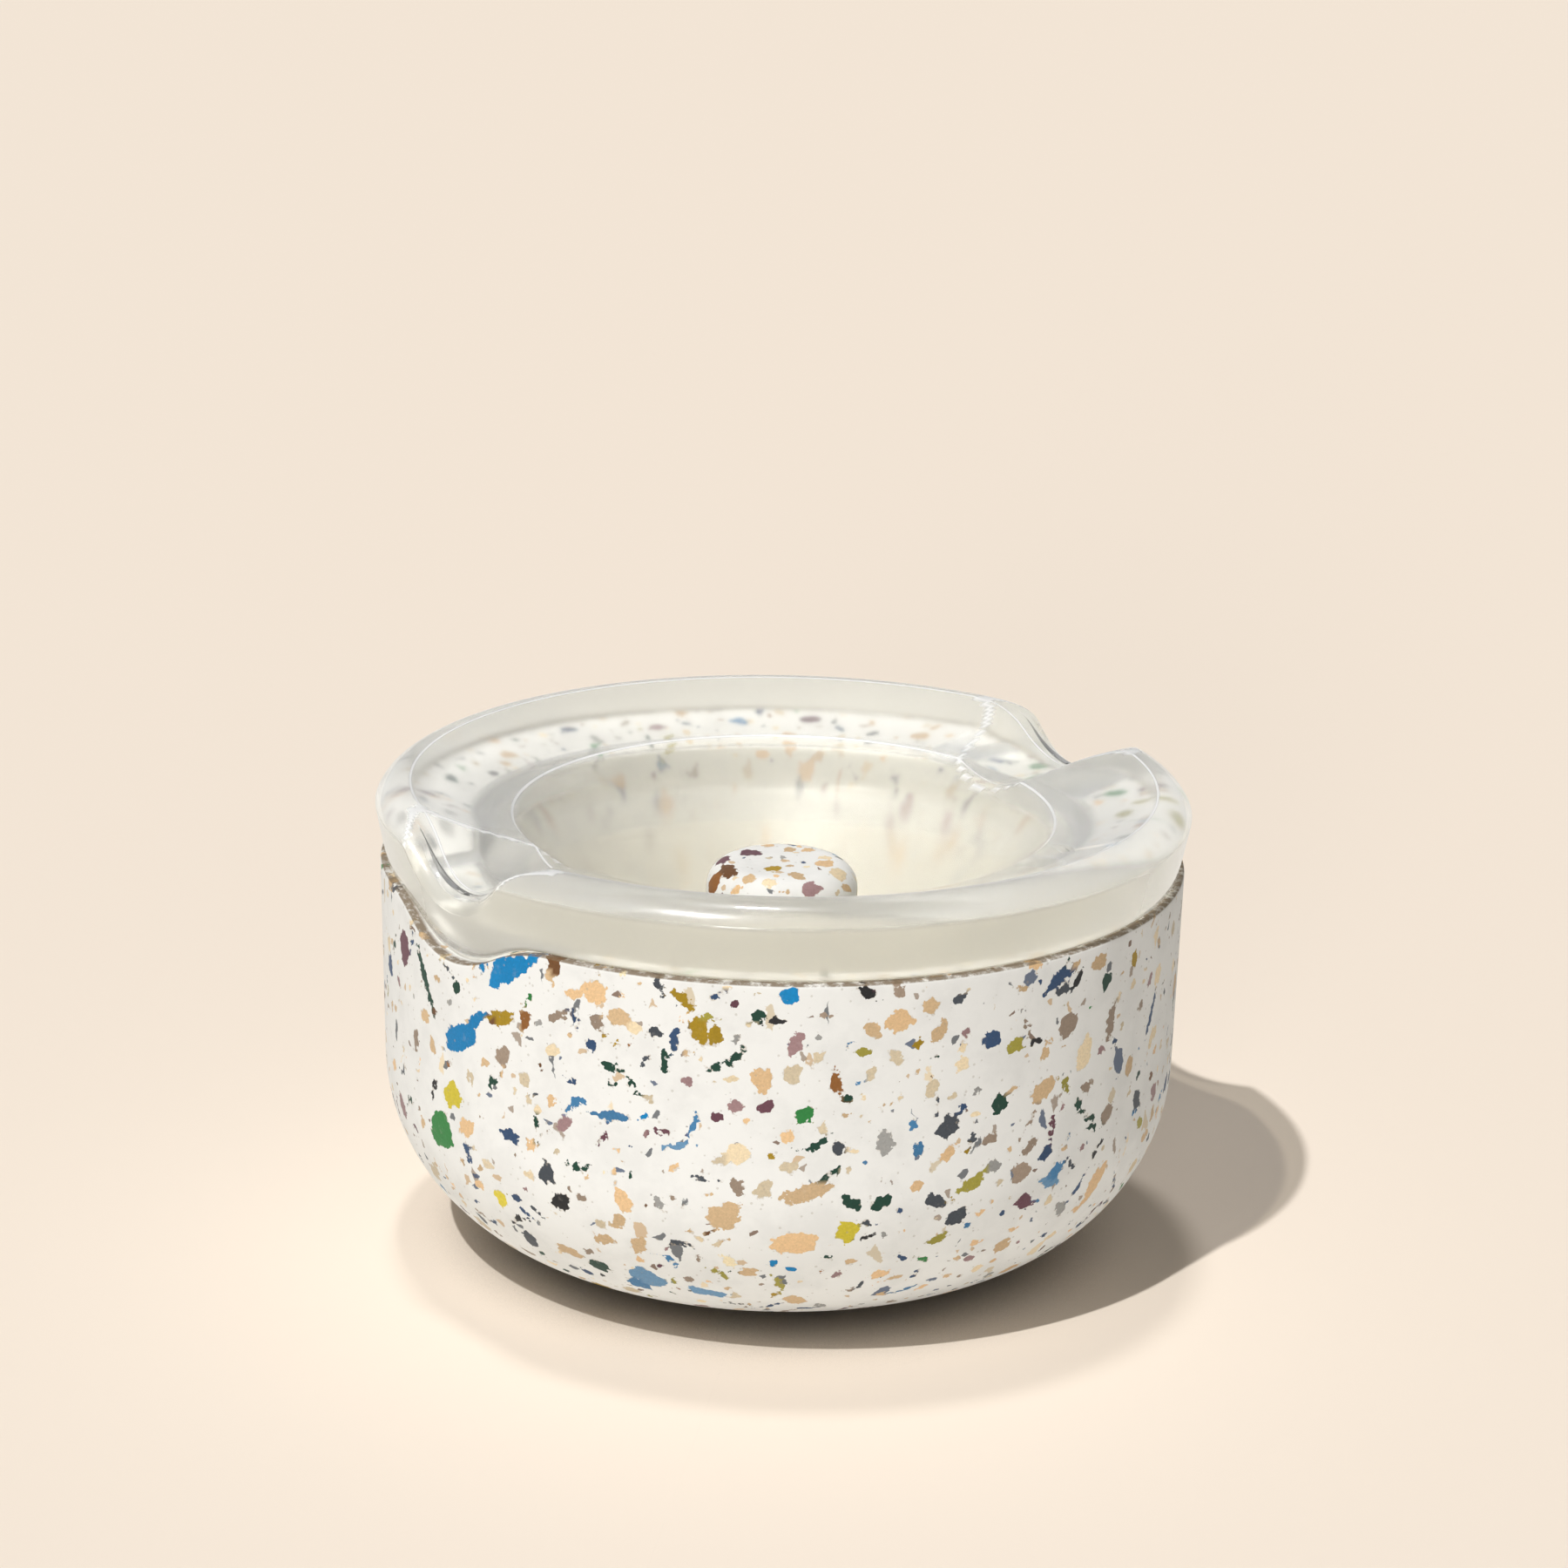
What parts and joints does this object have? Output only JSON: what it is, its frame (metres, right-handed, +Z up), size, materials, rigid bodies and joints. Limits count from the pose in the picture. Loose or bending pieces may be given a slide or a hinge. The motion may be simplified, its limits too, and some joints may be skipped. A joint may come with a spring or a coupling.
{
  "type": "ashtray",
  "caption": "Round table ashtray: a hollow terrazzo bowl, a thick milky glass tray with scooped rests lying on its rim, and a stopper knob over the tray's drop hole.",
  "frame": {"origin": "on the table, under the middle of the bowl, at the underside of the foot pads", "axes": "+Z up, the two rests on +X and -X"},
  "size_m": [0.1282, 0.13, 0.0763],
  "materials": {
    "terrazzo": "honed matte",
    "pad_silicone": "matte",
    "opal_glass": "polished, milky",
    "knob_terrazzo": "honed matte",
    "bung_silicone": "matte, translucent white"
  },
  "bodies": {
    "base": {"terrazzo_base": "terrazzo", "foot_pads": "pad_silicone"},
    "tray": {"glass_tray": "opal_glass"},
    "stopper": {"stopper_knob": "knob_terrazzo", "stopper_bung": "bung_silicone"}
  },
  "joints": [
    {"name": "tray_lift", "type": "slide", "parent": "base", "child": "tray", "axis": [0, 0, 1], "range_m": [0, 0.08]},
    {"name": "stopper_lift", "type": "slide", "parent": "tray", "child": "stopper", "axis": [0, 0, 1], "range_m": [0, 0.05]}
  ]
}
